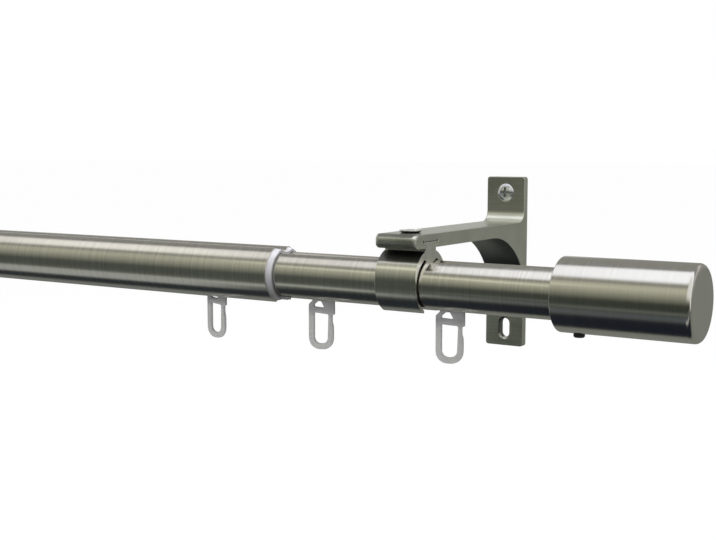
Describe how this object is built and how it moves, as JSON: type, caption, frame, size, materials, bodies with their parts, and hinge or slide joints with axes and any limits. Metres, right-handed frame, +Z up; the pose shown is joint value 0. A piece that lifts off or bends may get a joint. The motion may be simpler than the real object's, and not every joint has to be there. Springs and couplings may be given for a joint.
{
  "type": "curtain rod with inner runners",
  "caption": "Telescopic metal curtain rod with a grooved crown and a track slot below, hung on arm brackets with open clamps, with cylinder finials and loop gliders.",
  "frame": {"origin": "on the wall plane behind the rod's axis, in the middle of the right bracket's width", "axes": "+X along the rod to the right finial, +Y into the wall, +Z up"},
  "size_m": [0.7496, 0.0905, 0.0641],
  "materials": {
    "tube_metal": "brushed round the tube",
    "finial_metal": "brushed round the cap",
    "bracket_metal": "satin, nickel coloured",
    "screw_metal": "satin",
    "zinc_screw": "zinc plated",
    "black_screw": "black oxide",
    "pale_plastic": "moulded",
    "grey_plastic": "moulded",
    "dark_plastic": "moulded"
  },
  "bodies": {
    "right_hanger": {"right_bracket": "bracket_metal", "right_clamp": "bracket_metal", "right_wall_screw": "zinc_screw"},
    "right_clamp_bolt": {"right_clamp_screw": "screw_metal"},
    "thin_rod": {"inner_tube": "tube_metal", "inner_end_guide": "dark_plastic"},
    "thick_rod": {"outer_tube": "tube_metal", "transition_collar": "pale_plastic"},
    "left_hanger": {"left_bracket": "bracket_metal", "left_clamp": "bracket_metal", "left_wall_screw": "zinc_screw"},
    "left_clamp_bolt": {"left_clamp_screw": "screw_metal"},
    "right_finial": {"right_finial_cap": "finial_metal", "right_finial_sleeve": "dark_plastic"},
    "right_set_screw": {"right_grub_screw": "black_screw"},
    "left_finial": {"left_finial_cap": "finial_metal", "left_finial_plug": "dark_plastic"},
    "left_set_screw": {"left_grub_screw": "black_screw"},
    "glider_1": {"runner_1": "grey_plastic"},
    "loop_1": {"eyelet_1": "grey_plastic"},
    "glider_2": {"runner_2": "grey_plastic"},
    "loop_2": {"eyelet_2": "grey_plastic"},
    "glider_3": {"runner_3": "grey_plastic"},
    "loop_3": {"eyelet_3": "grey_plastic"}
  },
  "joints": [
    {"name": "right_clamp_screw_turn", "type": "hinge", "parent": "right_hanger", "child": "right_clamp_bolt", "pos_m": [0, -0.072, 0.016], "axis": [0, 0, 1], "continuous": true},
    {"name": "rod_shift", "type": "slide", "parent": "right_hanger", "child": "thin_rod", "axis": [1, 0, 0], "range_m": [-0.02, 0.01]},
    {"name": "telescope", "type": "slide", "parent": "thin_rod", "child": "thick_rod", "axis": [1, 0, 0], "range_m": [-0.35, 0.024]},
    {"name": "left_hanger_shift", "type": "slide", "parent": "thick_rod", "child": "left_hanger", "axis": [1, 0, 0], "range_m": [-0.035, 0.15]},
    {"name": "left_clamp_screw_turn", "type": "hinge", "parent": "left_hanger", "child": "left_clamp_bolt", "pos_m": [-0.5624, -0.072, 0.0178], "axis": [0, 0, 1], "continuous": true},
    {"name": "right_finial_pull", "type": "slide", "parent": "thin_rod", "child": "right_finial", "axis": [1, 0, 0], "range_m": [0, 0.045]},
    {"name": "right_grub_turn", "type": "hinge", "parent": "right_finial", "child": "right_set_screw", "pos_m": [0.0575, -0.072, -0.011], "axis": [0, 0, 1], "continuous": true},
    {"name": "left_finial_pull", "type": "slide", "parent": "thick_rod", "child": "left_finial", "axis": [-1, 0, 0], "range_m": [0, 0.045]},
    {"name": "left_grub_turn", "type": "hinge", "parent": "left_finial", "child": "left_set_screw", "pos_m": [-0.6199, -0.072, -0.011], "axis": [0, 0, 1], "continuous": true},
    {"name": "glider_1_slide", "type": "slide", "parent": "thin_rod", "child": "glider_1", "axis": [1, 0, 0], "range_m": [-0.015, 0.03]},
    {"name": "loop_1_swivel", "type": "hinge", "parent": "glider_1", "child": "loop_1", "pos_m": [0.0144, -0.072, -0.0074], "axis": [0, 0, 1], "range_deg": [-45, 5]},
    {"name": "glider_2_slide", "type": "slide", "parent": "thin_rod", "child": "glider_2", "axis": [1, 0, 0], "range_m": [-0.015, 0.015]},
    {"name": "loop_2_swivel", "type": "hinge", "parent": "glider_2", "child": "loop_2", "pos_m": [-0.0345, -0.072, -0.0074], "axis": [0, 0, 1], "range_deg": [-38, 12]},
    {"name": "glider_3_slide", "type": "slide", "parent": "thin_rod", "child": "glider_3", "axis": [1, 0, 0], "range_m": [-0.38, 0.015]},
    {"name": "loop_3_swivel", "type": "hinge", "parent": "glider_3", "child": "loop_3", "pos_m": [-0.0798, -0.072, -0.0074], "axis": [0, 0, 1], "range_deg": [-18, 32]}
  ]
}
